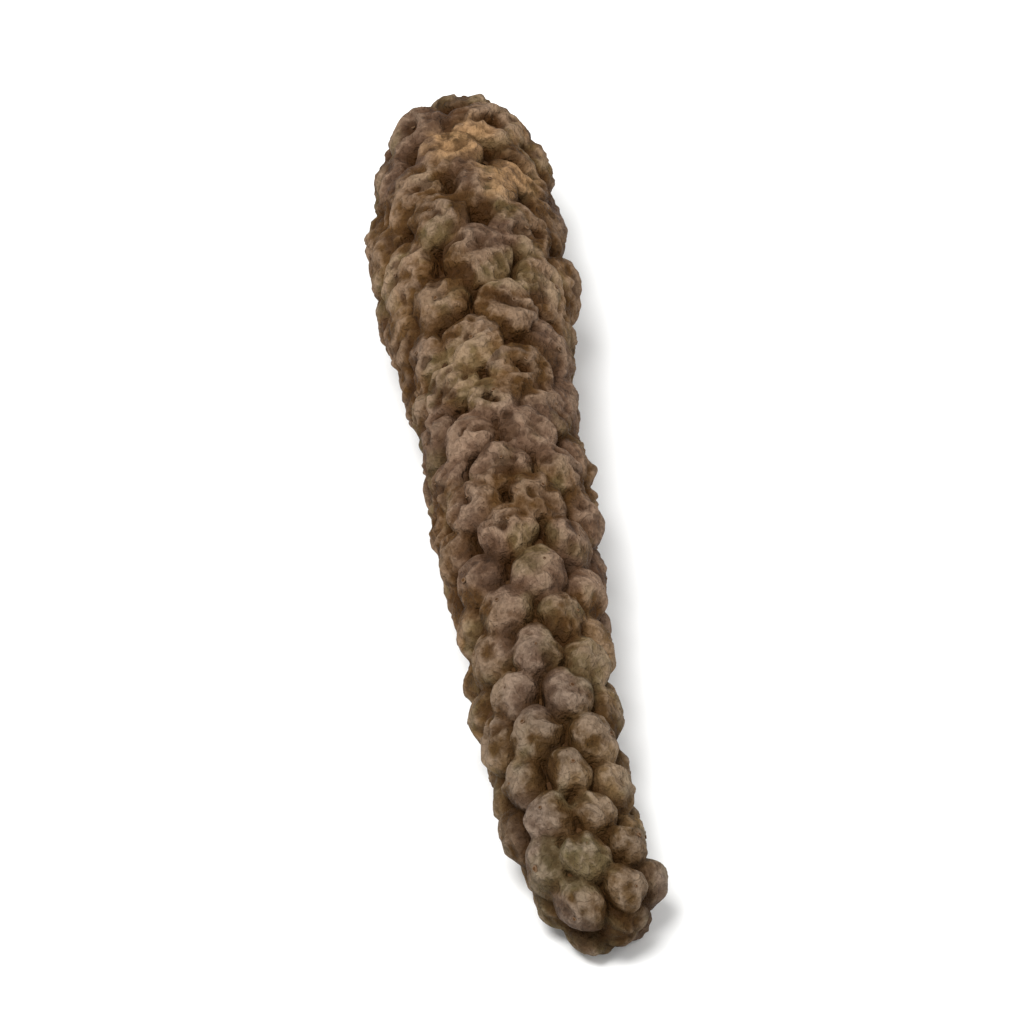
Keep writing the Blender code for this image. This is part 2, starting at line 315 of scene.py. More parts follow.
class Berries:
    """Where the berries sit and how big each is, as in the solid. The last one is the tip's own, on the pole."""

    def __init__(self, core):
        self.core = core
        draw = np.random.default_rng(SEED)
        self.along, self.turn = self.stacked()
        self.settle()
        self.turn += ROLL
        count = len(self.along)
        self.along[:-1] += draw.normal(0, PLACE_VARIES, count - 1)
        self.turn[:-1] += draw.normal(0, PLACE_VARIES, count - 1) / core.radius_at(self.along[:-1])
        self.pitch = self.shares_of_skin()[2]
        self.middle = core.point(self.along, self.turn, BERRY_RELIEF / 2)
        self.radius = BERRY_SPREAD * self.pitch * (1 + draw.normal(0, SIZE_VARIES, count))
        self.relief = BERRY_RELIEF * (1 + draw.normal(0, RELIEF_VARIES, count)).clip(*RELIEF_LIMITS)
        self.relief[-1] = TIP_BERRY_RELIEF
        dimpled = draw.random(count) < DIMPLED_SHARE
        self.dimple = DIMPLE_DEPTH * dimpled * draw.uniform(*DIMPLE_VARIES, count)
        _, self.ahead, self.across = core.frame_at(self.along, self.turn)

    def stacked(self):
        """Each new berry takes the lowest free place above the stalk, as they form on the young spike."""
        core = self.core
        first = STALK_RADIUS + BERRY_SPACINGS[0][1] / 2
        along, turn = skin_grid(np.arange(first, core.total, SEARCH_STEP), SEARCH_TURNS)
        along, turn = along.ravel(), turn.ravel()
        places = core.point(along, turn, BERRY_RELIEF / 2)
        spacing = core.spacing_at(along)
        tip = core.point(core.total, 0.0, BERRY_RELIEF / 2)
        free = along >= first + ROW_RISE * (1 - turn / FULL_TURN)
        free &= np.linalg.norm(places - tip, axis=1) >= spacing
        found = []
        while free.any():
            lowest = int(np.argmin(np.where(free, along, np.inf)))
            found.append((along[lowest], turn[lowest]))
            free &= np.linalg.norm(places - places[lowest], axis=1) >= spacing
        found.append((core.total, 0.0))
        return np.array(found).T

    def shares_of_skin(self):
        """The middle of the skin nearest to each berry, and the pitch of berries that would share it evenly."""
        core = self.core
        along, turn = skin_grid(np.arange(STALK_RADIUS, core.total, SETTLE_STEP), SETTLE_TURNS)
        along, turn = along.ravel(), turn.ravel()
        places = core.point(along, turn, BERRY_RELIEF / 2)
        middles = core.point(self.along, self.turn, BERRY_RELIEF / 2)
        nearest, gap = np.zeros(len(along), int), np.full(len(along), np.inf)
        for number, middle in enumerate(middles):
            distance = np.linalg.norm(places - middle, axis=1)
            nearest[distance < gap] = number
            gap = np.minimum(gap, distance)
        area = (core.radius_at(along) + BERRY_RELIEF / 2) * SETTLE_STEP * FULL_TURN / SETTLE_TURNS
        weight = area / core.spacing_at(along) ** CROWDING_POWER

        def gathered(values):
            return np.bincount(nearest, values, len(middles))

        new_along = gathered(weight * along) / gathered(weight)
        new_turn = np.arctan2(gathered(weight * np.sin(turn)), gathered(weight * np.cos(turn)))
        return new_along, new_turn, np.sqrt(gathered(area) * 2 / math.sqrt(3))

    def settle(self):
        """Evens out the crowding: each berry moves to the middle of its own share of the skin."""
        for _ in range(SETTLE_ROUNDS):
            along, turn, _ = self.shares_of_skin()
            self.along[:-1], self.turn[:-1] = along[:-1], turn[:-1]


@functools.cache
def laid_out():
    """The core and its berries, worked out once."""
    core = Core()
    return core, Berries(core)


def bent(points):
    """The straight spike's points carried onto the arched centreline, with each cross-section square to it."""
    x, side, up = np.moveaxis(points, -1, 0)
    share = x / SPIKE_LENGTH

    def centre(share):
        hook = np.maximum(0, share - HOOK_START) / (1 - HOOK_START)
        sideways = SIDE_BOW * (1 - (2 * share - 1) ** BOW_POWER) + TIP_HOOK * hook**HOOK_POWER
        fall = (share - STALK_REST_SHARE) / (TIP_REST_SHARE - STALK_REST_SHARE)
        line = STALK_REST_HEIGHT + (TIP_REST_HEIGHT - STALK_REST_HEIGHT) * fall
        arch = ARCH * (1 - ((share - ARCH_MIDDLE) / ARCH_HALF_SPAN) ** 2)
        length = (share - 0.5) * SPIKE_LENGTH
        return np.stack([length, sideways + SIDE_SHIFT, line + arch], axis=-1)

    ahead = centre(share + SLOPE_STEP) - centre(share - SLOPE_STEP)
    ahead /= np.linalg.norm(ahead, axis=-1, keepdims=True)
    across = np.stack([-ahead[..., 1], ahead[..., 0], np.zeros_like(x)], axis=-1)
    across /= np.linalg.norm(across, axis=-1, keepdims=True)
    upright = np.cross(ahead, across)
    return centre(share) + side[..., None] * across + up[..., None] * upright


def above_floor(points):
    """The bent spike's points, with what would reach below the floor pressed flat on it."""
    points = bent(points)
    points[..., 2] = np.maximum(points[..., 2], 0)
    return points


# Cells along each side of the grid of lumps, after which it repeats.
LUMP_CELLS = 32


@functools.cache
def lump_table(seed):
    """The random numbers at the corners of one grid of lumps."""
    return np.random.default_rng(seed).uniform(-1, 1, (LUMP_CELLS,) * 3)


def lumps(points, size, seed):
    """Smooth random lumps from -1 to 1: a random number at each corner of a cubic grid, blended in between."""
    table = lump_table(seed)
    place = points / size
    low = np.floor(place).astype(int)
    share = place - low
    share = share * share * (3 - 2 * share)
    total = np.zeros(points.shape[:-1])
    for corner in np.ndindex(2, 2, 2):
        weight = np.prod(np.where(corner, share, 1 - share), axis=-1)
        cell = (low + corner) % LUMP_CELLS
        total += weight * table[cell[..., 0], cell[..., 1], cell[..., 2]]
    return total


def smooth_step(value, low, high):
    """0 below low and 1 above high. In between it is 3 s^2 - 2 s^3, where s is the share of the way."""
    share = np.clip((value - low) / (high - low), 0, 1)
    return share * share * (3 - 2 * share)


# How the fine skin departs from the plain domes. Numbers without a unit are shares of a berry's radius, or of the
# relief where they are compared with the rise over the core. A pair is where a smooth step starts and ends, or the
# range of a random draw.
SOFT_JOIN = 0.05 * MM
WARP = 0.15 * MM
WARP_SIZE = 0.75 * MM
FARTHEST_REACH = 1.35
OUTLINE_WOBBLE = 0.12
OUTLINE_WOBBLES = 1.1
LEAN = 0.15
SHRIVELLING_CHANGES_AT = (0.53, 0.66)
STUB_EDGE = (0.96, 1.12)

# The hollows: where three berries meet, where two meet, and the dents scattered over the shrivelled half.
PIT_DEPTH = 0.26 * MM
PIT_BELOW = (0.10, 0.42)
SADDLE_RISE = 0.11 * MM
SADDLE_FROM = (0.16, 0.40)
SADDLE_TO = (0.45, 0.95)
DENT_SIZE = 0.55 * MM
DENT_DEPTH = 0.15 * MM
DENT_LIMITS = (0.30, 0.70)

# The sunken berries: how many there are in each half, their bowls, their holes and the rims beside the holes.
SHRIVELLED_SUNK_SHARE = 0.90
PLAIN_SUNK_SHARE = 0.10
SUNK_AMOUNTS = (0.45, 1.0)
BOWL_DEPTH = 0.12 * MM
BOWL_WIDTH = 0.50
HOLE_WIDTHS = (0.14, 0.28)
HOLE_STRETCHES = (1.0, 1.5)
HOLE_OFF_MIDDLE = 0.12
HOLE_UNEVENNESS = 0.6
HOLE_EDGE_POWER = 2.4
RIM_RELIEF = 0.13 * MM
RIM_REACH = 0.42
RIM_WIDTH = 0.12
RIM_ALL_ROUND = 0.35
RIM_ONE_SIDED = 0.65

# The folds of each berry, and the ridges and lumps all over the skin.
FOLD_COUNTS = (0.9, 1.6)
FOLD_CHANGE_OUTWARDS = 0.9
FOLD_START = 2.6
FOLD_END = 1.1
RIDGE_SIZE = 0.50 * MM
FINE_RIDGE_SIZE = 0.34 * MM
FINE_RIDGE_SHARE = 0.5
RIDGE_STEEPNESS = 3.2
RIDGE_ROUNDING = 0.08
SHRIVELLED_RIDGES = 0.5
COARSE_LUMP = 0.80 * MM
FINE_LUMP = 0.28 * MM
FINE_LUMP_SHARE = 0.4
ROUGHNESS_OF_HOLLOWS = 0.30

# The rubbed patch: the along, turn and radius of each round spot that it is made of, its edge, and what it has lost.
GRAZES = ((7.3 * MM, math.radians(62), 2.3 * MM), (5.6 * MM, math.radians(90), 2.0 * MM))
GRAZE_FADES = (0.35, 1.0)
GRAZE_EDGE_WOBBLE = 0.25
GRAZE_ABOVE = (0.25, 0.65)
GRAZE_LOSS = 0.10 * MM
GRAZE_LUMP = 0.4 * MM
GRAZE_UNEVENNESS = 0.4


def ridged(lump):
    """Narrow ridges, near 1, where a smooth lump passes through 0, and broad hollows, down to -1, away from there.

    It is 1 - min(2, steepness * sqrt(lump^2 + rounding^2)).
    """
    return 1 - np.minimum(2, RIDGE_STEEPNESS * np.hypot(lump, RIDGE_ROUNDING))


class Skin:
    """The fine surface: its height over the core anywhere, and the masks that its colours follow."""

    def __init__(self, core, berries, sizes):
        self.core, self.berries, self.sizes = core, berries, sizes
        draw = np.random.default_rng(SKIN_SEED)
        count = len(berries.along)
        self.shift = draw.uniform(0, LUMP_CELLS, (count, 3))
        self.folds = draw.uniform(*FOLD_COUNTS, count)
        self.lean_way = draw.uniform(0, FULL_TURN, count)
        self.rim_way = draw.uniform(0, FULL_TURN, count)
        self.hole_at = draw.normal(0, HOLE_OFF_MIDDLE, (count, 2))
        self.hole_width = draw.uniform(*HOLE_WIDTHS, count)
        self.hole_way = draw.uniform(0, FULL_TURN, count)
        self.hole_stretch = draw.uniform(*HOLE_STRETCHES, count)
        self.tone = draw.random(count)
        chance = PLAIN_SUNK_SHARE + (SHRIVELLED_SUNK_SHARE - PLAIN_SUNK_SHARE) * self.shrivelled(berries.along)
        self.sunk = draw.uniform(*SUNK_AMOUNTS, count) * (draw.random(count) < chance)
        self.sunk[-1] = 0.0

    def shrivelled(self, along):
        """1 on the half next to the stalk, where the berries have sunk and grown together, and 0 on the other."""
        return 1 - smooth_step(along / self.core.total, *SHRIVELLING_CHANGES_AT)

    def at(self, along, turn):
        """Height over the core, and masks by name, for arrays of places.

        The domes are joined at a place that smooth lumps have pushed about. The corners where three of them meet
        are deepened. On the stalk's half the saddles between two of them are raised and the skin has scattered
        dents. Lumps and narrow little ridges are added all over, less so in the hollows, and the rubbed patch has
        lost a little of its height.
        """
        plain = self.core.point(along, turn, BERRY_RELIEF / 2)
        here = plain + WARP * np.stack([lumps(plain, WARP_SIZE, seed) for seed in WARP_LUMP_SEEDS], axis=-1)
        stub_reach = along / STALK_RADIUS
        height, masks = self.joined(here, stub_reach)

        shrivelled = self.shrivelled(along)
        rise = height / BERRY_RELIEF
        saddle = smooth_step(rise, *SADDLE_FROM) * (1 - smooth_step(rise, *SADDLE_TO))
        height = height + SADDLE_RISE * shrivelled * saddle
        rise = height / BERRY_RELIEF
        dent = shrivelled * smooth_step(lumps(here, DENT_SIZE, DENT_LUMP_SEED), *DENT_LIMITS)
        height = height - PIT_DEPTH * (1 - smooth_step(rise, *PIT_BELOW)) - DENT_DEPTH * dent

        rough = lumps(plain, COARSE_LUMP, COARSE_LUMP_SEED) + FINE_LUMP_SHARE * lumps(plain, FINE_LUMP, FINE_LUMP_SEED)
        graze = self.graze(plain, rough, rise)
        graze_lump = lumps(plain, GRAZE_LUMP, GRAZE_LUMP_SEED)
        height = height - GRAZE_LOSS * graze * (1 - GRAZE_UNEVENNESS + GRAZE_UNEVENNESS * graze_lump)

        fine_ridge = ridged(lumps(here, FINE_RIDGE_SIZE, FINE_RIDGE_LUMP_SEED))
        ridge = ridged(lumps(here, RIDGE_SIZE, RIDGE_LUMP_SEED)) + FINE_RIDGE_SHARE * fine_ridge
        relief = ridge * (1 + SHRIVELLED_RIDGES * shrivelled)
        strength = np.clip(ROUGHNESS_OF_HOLLOWS + rise, 0, 1)
        height = height + strength * (self.sizes.lump_depth * rough + self.sizes.ridge_depth * relief)
        masks |= {
            "rise": rise,
            "dent": dent,
            "ridge": ridge,
            "graze": graze,
            "stub": 1 - smooth_step(stub_reach, *STUB_EDGE),
            "stub_reach": np.clip(stub_reach, 0, 2),
            "tipward": along / self.core.total,
        }
        return height, masks

    def joined(self, here, stub_reach):
        """The height of the stub and all domes together, and each berry's own masks where its dome is the highest.

        They are joined by the soft maximum, join * log(1 + sum(exp(height / join))). The stub's height is
        relief * sqrt(1 - reach^p).
        """
        stub = STALK_RELIEF * np.sqrt(np.maximum(0, 1 - stub_reach**STALK_FLATNESS))
        total = 1 + np.exp(stub / SOFT_JOIN)
        best = np.full(stub.shape, -1.0)
        masks = {"reach": np.ones(stub.shape)}
        masks |= {name: np.zeros(stub.shape) for name in ("tone", "hole", "rim", "fold")}
        for number in range(len(self.berries.along)):
            near, dome, parts = self.berry(number, here)
            total[near] += np.exp(dome / SOFT_JOIN)
            higher = dome > best[near]
            spot = np.flatnonzero(near.ravel())[higher]
            best.ravel()[spot] = dome[higher]
            for name, values in parts.items():
                masks[name].ravel()[spot] = values[higher]
        return np.log(total) * SOFT_JOIN, masks

    def graze(self, plain, rough, rise):
        """1 on the crowns in the middle of the rubbed patch, falling to 0 at its uneven edge and in the hollows."""
        reach = np.min(
            [
                np.linalg.norm(plain - self.core.point(along, turn, BERRY_RELIEF), axis=-1) / radius
                for along, turn, radius in GRAZES
            ],
            axis=0,
        )
        return (1 - smooth_step(reach + GRAZE_EDGE_WOBBLE * rough, *GRAZE_FADES)) * smooth_step(rise, *GRAZE_ABOVE)

    def berry(self, number, here):
        """One berry: where it counts, its height over the core there, and its own part of the masks.

        It is a dome, relief * (1 - reach^p)^s less a small dimple, whose reach is the distance from its middle
        over a radius that swells and shrinks unevenly round it, and which leans a little to one side. Folds run
        out from its middle. A sunken berry also has a bowl, a hole near its middle and a crescent of raised rim
        beside the hole: bell curves of the reach, the last two of a reach measured from the hole.
        """
        berries = self.berries
        size = berries.radius[number]
        gap = here - berries.middle[number]
        near = np.linalg.norm(gap, axis=-1) < FARTHEST_REACH * size
        gap = gap[near]
        distance = np.linalg.norm(gap, axis=-1)
        ahead, across = gap @ berries.ahead[number], gap @ berries.across[number]
        angle = np.arctan2(across, ahead)
        ring = np.stack([np.cos(angle), np.sin(angle), np.zeros_like(angle)], axis=-1)
        swell = 1 + OUTLINE_WOBBLE * lumps(OUTLINE_WOBBLES * ring + self.shift[number], 1.0, COARSE_LUMP_SEED)
        reach = distance / (size * swell)
        inside = np.maximum(0, 1 - reach**DOME_POWER)
        dome = berries.relief[number] * inside**DOME_SHAPE
        dome -= berries.dimple[number] * np.exp(-((reach / DIMPLE_WIDTH) ** 2))
        dome *= 1 + LEAN * np.cos(angle - self.lean_way[number]) * reach * inside

        ring[:, 2] = FOLD_CHANGE_OUTWARDS * reach
        ring[:, :2] *= self.folds[number]
        uneven = lumps(ring + self.shift[number], 1.0, FOLD_LUMP_SEED)
        fold = ridged(uneven) * np.clip(FOLD_START * reach * (FOLD_END - reach), 0, 1)
        dome += self.sizes.wrinkle_depth * fold

        sunk = self.sunk[number]
        off_ahead, off_across = self.hole_at[number]
        way, stretch = self.hole_way[number], self.hole_stretch[number]
        to_ahead, to_across = ahead / size - off_ahead, across / size - off_across
        long_way = (to_ahead * math.cos(way) + to_across * math.sin(way)) / stretch
        short_way = (to_across * math.cos(way) - to_ahead * math.sin(way)) * stretch
        hole_reach = np.hypot(long_way, short_way) * (1 + HOLE_UNEVENNESS * uneven)
        hole = np.exp(-((hole_reach / self.hole_width[number]) ** HOLE_EDGE_POWER))
        crescent = RIM_ALL_ROUND + RIM_ONE_SIDED * np.cos(angle - self.rim_way[number])
        rim = np.exp(-(((hole_reach - RIM_REACH) / RIM_WIDTH) ** 2)) * crescent
        dome += sunk * (RIM_RELIEF * rim - BOWL_DEPTH * np.exp(-((reach / BOWL_WIDTH) ** 2)))
        dome -= sunk * self.sizes.crater_depth * hole
        parts = {
            "reach": reach,
            "tone": np.full(reach.shape, self.tone[number]),
            "hole": sunk * hole,
            "rim": sunk * np.maximum(0, rim),
            "fold": fold,
        }
        return near, dome, parts


def ringed_mesh(name, starts, rings, ends, masks=None):
    """A mesh of closed bodies. Each body is a first pole, rings of points, and a last pole, joined in that order.

    rings has the shape (bodies, rings, points round, 3), and each mask the same one without the last number. The
    points run round so that, seen from the last pole, they go clockwise: the faces then look outwards.
    """
    bodies, rows, columns = rings.shape[:3]
    size = rows * columns + 2
    points = np.concatenate([starts[:, None], rings.reshape(bodies, rows * columns, 3), ends[:, None]], axis=1)
    row, column = np.meshgrid(np.arange(rows), np.arange(columns), indexing="ij")
    here = 1 + row * columns + column
    beside = 1 + row * columns + (column + 1) % columns
    quads = np.stack([here[:-1], beside[:-1], beside[1:], here[1:]], axis=-1).reshape(-1, 4)
    first = np.stack([np.zeros(columns, int), beside[0], here[0]], axis=-1)
    last = np.stack([np.full(columns, size - 1), here[-1], beside[-1]], axis=-1)
    offsets = size * np.arange(bodies)[:, None, None]
    quads = (quads[None] + offsets).reshape(-1, 4)
    threes = (np.concatenate([first, last])[None] + offsets).reshape(-1, 3)
    mesh = bpy.data.meshes.new(name)
    mesh.from_pydata(points.reshape(-1, 3), [], quads.tolist() + threes.tolist())
    for mask, values in (masks or {}).items():
        attribute = mesh.attributes.new(mask, "FLOAT", "POINT")
        attribute.data.foreach_set("value", np.ascontiguousarray(values, np.float32).ravel())
    mesh.shade_smooth()
    piece = bpy.data.objects.new(name, mesh)
    bpy.context.scene.collection.objects.link(piece)
    return piece


def with_poles(values, first, last):
    """A mask's numbers with one for each pole put at its ends."""
    bodies = len(values)
    return np.concatenate([first.reshape(bodies, 1), values.reshape(bodies, -1), last.reshape(bodies, 1)], axis=1)


class Wire:
    """A number that a shader node gives. Sums and products with it add Math nodes."""

    def __init__(self, nodes, socket):
        self.nodes, self.socket = nodes, socket

    def maths(self, operation, *values):
        """A new Math node."""
        return self.nodes.add("ShaderNodeMath", {"operation": operation}, dict(enumerate(values)))

    def __add__(self, other):
        return self.maths("ADD", self, other)

    __radd__ = __add__

    def __sub__(self, other):
        return self.maths("SUBTRACT", self, other)

    def __rsub__(self, other):
        return self.maths("SUBTRACT", other, self)

    def __mul__(self, other):
        return self.maths("MULTIPLY", self, other)

    __rmul__ = __mul__

    def step(self, low, high):
        """0 below low, 1 above high, and a smooth rise in between. With high under low it falls."""
        if high < low:
            return 1 - self.step(high, low)
        settings = {"interpolation_type": "SMOOTHSTEP"}
        return self.nodes.add("ShaderNodeMapRange", settings, {"Value": self, "From Min": low, "From Max": high})


class Nodes:
    """A material's nodes. One method adds any node, and the others are short names for common ones."""

    # Numbers of the sockets that a name alone doesn't tell apart.
    MIX_FACTOR, MIX_FIRST, MIX_SECOND, MIX_COLOUR = 0, 6, 7, 2
    OBJECT_PLACE = 3
    ATTRIBUTE_NUMBER = 2

    # The scale of noise whose lumps are 1 across, and how steeply wrinkles fall away from their lines.
    LUMPS_IN_NOISE = 0.6
    WRINKLE_STEEPNESS = 6.5

    def __init__(self, name, roughness, specular):
        self.material = bpy.data.materials.new(name)
        self.material.use_nodes = True
        self.tree = self.material.node_tree
        self.shader = self.tree.nodes["Principled BSDF"]
        self.shader.inputs["Roughness"].default_value = roughness
        self.shader.inputs["Specular IOR Level"].default_value = specular

    def place(self):
        """Where a point is, in the object's own coordinates."""
        return self.add("ShaderNodeTexCoord", output=self.OBJECT_PLACE)

    def add(self, kind, settings=None, values=None, output=0):
        """A new node of that type: its settings first, then the values or wires of its sockets."""
        node = self.tree.nodes.new(kind)
        for name, setting in (settings or {}).items():
            setattr(node, name, setting)
        for name, value in (values or {}).items():
            self.feed(node.inputs[name], value)
        return Wire(self, node.outputs[output])

    def feed(self, socket, value):
        """Links a wire to a socket, or sets a constant on the socket itself."""
        if isinstance(value, Wire):
            self.tree.links.new(value.socket, socket)
        elif socket.type == "RGBA" and len(value) == 3:
            socket.default_value = (*value, 1.0)
        else:
            socket.default_value = value

    def shade(self, name, value):
        """Feeds one of the shader's own sockets."""
        self.feed(self.shader.inputs[name], value)

    def mask(self, name):
        """One of the mesh's own masks."""
        return self.add("ShaderNodeAttribute", {"attribute_name": name}, output=self.ATTRIBUTE_NUMBER)

    def mix(self, share, first, second, blend="MIX"):
        """A share of the second colour over the first."""
        values = {self.MIX_FACTOR: share, self.MIX_FIRST: first, self.MIX_SECOND: second}
        settings = {"data_type": "RGBA", "blend_type": blend}
        return self.add("ShaderNodeMix", settings, values, self.MIX_COLOUR)

    def noise(self, place, size, detail=2.0, roughness=0.5):
        """Cloudy noise from about 0.2 to 0.8, whose lumps are about size across."""
        scale = self.LUMPS_IN_NOISE / size
        values = {"Vector": place, "Scale": scale, "Detail": detail, "Roughness": roughness}
        return self.add("ShaderNodeTexNoise", None, values)

    def wrinkles(self, place, size, detail=2.0):
        """1 along winding lines, about size apart, where cloudy noise passes through its middle, down to about 0."""
        centred = self.noise(place, size, detail) - 0.5
        return 1 - self.WRINKLE_STEEPNESS * centred.maths("ABSOLUTE", centred)

    def bump(self, height, distance):
        """Tilts the shader's normals by a height, whose 1 is worth that distance."""
        self.shade("Normal", self.add("ShaderNodeBump", None, {"Height": height, "Distance": distance}))

    def grained(self, size, bump):
        """Fine grain of that size, which the bump follows too."""
        grain = self.noise(self.place(), size, 2, 0.6)
        self.bump(grain, bump)
        return grain


# Sizes of the lumps of colour on the skin, and what its bump's height of 1 is worth.
PATCH_SIZE = 2.6 * MM
CLOUD_SIZE = 1.3 * MM
MOTTLE_SIZE = 0.42 * MM
GRAIN_SIZE = 0.11 * MM
SPECK_SIZE = 0.05 * MM
WRINKLE_SIZE = 0.50 * MM
LINE_SIZE = 0.24 * MM
SKIN_BUMP = 0.32 * MM


def skin_material(colours):
    """The dried skin: painted near-black shade in the hollows, brown flanks, and crowns painted grey-tan as dust and
    highlight, in faint patches of other tints.
    """
    nodes = Nodes(SLOT, roughness=0.75, specular=0.06)
    place = nodes.place()
    rise, reach, tone = (nodes.mask(name) for name in ("rise", "reach", "tone"))
    hole, rim, dent, graze = (nodes.mask(name) for name in ("hole", "rim", "dent", "graze"))
    fold, ridge, tipward = (nodes.mask(name) for name in ("fold", "ridge", "tipward"))
    stub, stub_reach = nodes.mask("stub"), nodes.mask("stub_reach")
    patch = nodes.noise(place, PATCH_SIZE, 1)
    cloud = nodes.noise(place, CLOUD_SIZE, 2)
    mottle = nodes.noise(place, MOTTLE_SIZE, 3, 0.6)
    grain = nodes.noise(place, GRAIN_SIZE, 2, 0.6)
    speck = nodes.noise(place, SPECK_SIZE, 1)
    wrinkle = nodes.wrinkles(place, WRINKLE_SIZE)
    line = nodes.wrinkles(place, LINE_SIZE).step(0.45, 1.0)

    # The flanks' own tint, which changes from patch to patch, and painted shade below it: the lower the skin lies, the
    # darker it is painted, down to near-black in the hollows.
    kind = nodes.mix(patch.step(0.52, 0.62) * 0.75, colours.flank, colours.warm)
    kind = nodes.mix(patch.step(0.47, 0.36) * 0.75, kind, colours.mauve)
    kind = nodes.mix(cloud.step(0.52, 0.64) * 0.6, kind, colours.green)
    uneven = rise + (mottle - 0.5) * 0.6
    colour = nodes.mix(uneven.step(0.10, 0.85), colours.pit, kind)

    # Dust and painted highlight on what stands out: crowns, folds and ridges are painted paler, unevenly, and a little
    # less towards the tip.
    wear_and_highlight = (1 - reach) * 0.8 + fold * 0.22 + ridge * 0.26
    wear_and_highlight = wear_and_highlight + (mottle - 0.5) * 0.9 + (grain - 0.5) * 0.6 + (cloud - 0.5) * 0.7 + (tone - 0.5) * 0.25
    wear_and_highlight = wear_and_highlight + (wrinkle - 0.4) * 0.45
    dust_and_highlight = wear_and_highlight.step(0.08, 0.92) * uneven.step(0.30, 0.80)
    dust_and_highlight_colour = nodes.mix(0.3, colours.crown, kind)
    colour = nodes.mix(dust_and_highlight * (0.92 - 0.16 * tipward), colour, dust_and_highlight_colour)

    # Painted highlight on the raised rims beside the holes, and painted shade in the holes, dents, creases and fine
    # lines.
    colour = nodes.mix(rim.step(0.20, 0.8) * mottle.step(0.3, 0.55) * 0.7, colour, colours.crown)
    colour = nodes.mix(hole.step(0.10, 0.70) * 0.8, colour, colours.pit)
    colour = nodes.mix(dent.step(0.15, 0.95) * 0.70, colour, colours.pit)
    sunken = (0 - fold).step(0.05, 0.8) * 0.35 + (0 - ridge).step(0.1, 0.9) * 0.3
    colour = nodes.mix(sunken, colour, colours.pit)
    colour = nodes.mix(line * 0.25, colour, colours.pit)

    # The rubbed patch, and the pith of the broken stalk inside its bark.
    raw = nodes.mix(mottle.step(0.30, 0.65), colours.warm, colours.graze)
    colour = nodes.mix(graze * (0.25 + 0.6 * wear_and_highlight.step(0.10, 0.80)), colour, raw)
    pith = nodes.mix(grain.step(0.35, 0.6), colours.warm, colours.wood)
    pith = nodes.mix(stub_reach.step(0.72, 0.86) * 0.8, pith, colours.flank)
    colour = nodes.mix(stub, colour, pith)

    # Lighter and darker berries and grains, painted shade between the wrinkles' raised lines, all of them cooler near
    # the tip.
    shade = 0.83 + 0.20 * tone + 0.5 * (cloud - 0.5) + 0.8 * (grain - 0.5) + 0.22 * (wrinkle - 0.3)
    cool = tipward.step(0.62, 0.85)
    red, green, blue = shade * (0.94 - 0.075 * cool), shade * (0.96 + 0.02 * cool), shade * (0.98 + 0.12 * cool)
    grey = nodes.add("ShaderNodeCombineColor", None, {0: red, 1: green, 2: blue})
    nodes.shade("Base Color", nodes.mix(1.0, colour, grey, "MULTIPLY"))
    nodes.shade("Roughness", 0.68 + 0.18 * dust_and_highlight + 0.25 * (grain - 0.5))
    nodes.bump(mottle * 0.4 + grain * 0.35 + speck * 0.1 + wrinkle * 0.2 - line * 0.07, SKIN_BUMP)
    return nodes.material


def scale_material(colours):
    """The scales in the hollows: thin, dry and brown, darkened towards near-black as painted shade of the hollows,
    paler at the rim.
    """
    nodes = Nodes("pepper_scale", roughness=0.8, specular=0.15)
    grain = nodes.grained(size=0.08 * MM, bump=0.03 * MM)
    edge, tone = nodes.mask("edge"), nodes.mask("tone")
    colour = nodes.mix(edge.step(0.6, 1.0) * 0.15 * tone, colours.flank, colours.crown)
    # Painted shade: the scales are darkened most of the way to the hollows' near-black.
    colour = nodes.mix(0.60 + 0.5 * (grain - 0.5) + 0.3 * tone, colour, colours.pit)
    nodes.shade("Base Color", colour)
    return nodes.material


def flower_rest_material(colours):
    """What is left of the flowers: shrivelled and almost black, with a paler lip."""
    nodes = Nodes("pepper_flower_rest", roughness=0.75, specular=0.15)
    grain = nodes.grained(size=0.06 * MM, bump=0.02 * MM)
    edge, tone = nodes.mask("edge"), nodes.mask("tone")
    colour = nodes.mix(tone * 0.5 + grain * 0.3, colours.pit, colours.flank)
    colour = nodes.mix(edge.step(0.45, 0.8) * edge.step(1.0, 0.9) * 0.35, colour, colours.crown)
    nodes.shade("Base Color", colour)
    return nodes.material


def fibre_material(colours):
    """Torn fibres of the stalk: pale straw wood with darker streaks."""
    nodes = Nodes("pepper_stalk_fibre", roughness=0.7, specular=0.25)
    grain = nodes.grained(size=0.07 * MM, bump=0.02 * MM)
    tip = nodes.mask("edge")
    colour = nodes.mix(grain.step(0.3, 0.7), colours.warm, colours.wood)
    colour = nodes.mix(tip.step(0.2, 1.0) * 0.5, colour, colours.flank)
    nodes.shade("Base Color", colour)
    return nodes.material


# Points round each small body.
ROUND_COLUMNS = 10
FIBRE_COLUMNS = 7


def round_forms(middles, outward, ahead, across, profile, radii, lobes):
    """Small closed round bodies, one at each middle: a profile of (share of the radius, height) carried round.

    Each body's radius swells as 1 + size * cos(number * angle + phase), by its own number, phase and size of lobes.
    Returns the first poles, the rings and the last poles, in the straight spike's frame.
    """
    angle = np.arange(ROUND_COLUMNS) * FULL_TURN / ROUND_COLUMNS
    number, phase, size = (values[:, None] for values in lobes)
    swell = 1 + size * np.cos(number * angle + phase)
    share, height = np.array(profile).T
    reach = radii[:, None, None] * share[None, 1:-1, None] * swell[:, None, :]
    side = (reach * np.cos(angle))[..., None] * ahead[:, None, None]
    side = side + (reach * np.sin(angle))[..., None] * across[:, None, None]
    lift = radii[:, None, None, None] * height[None, 1:-1, None, None] * outward[:, None, None]
    rings = middles[:, None, None] + side + lift
    first = middles + radii[:, None] * height[0] * outward
    last = middles + radii[:, None] * height[-1] * outward
    return first, rings, last


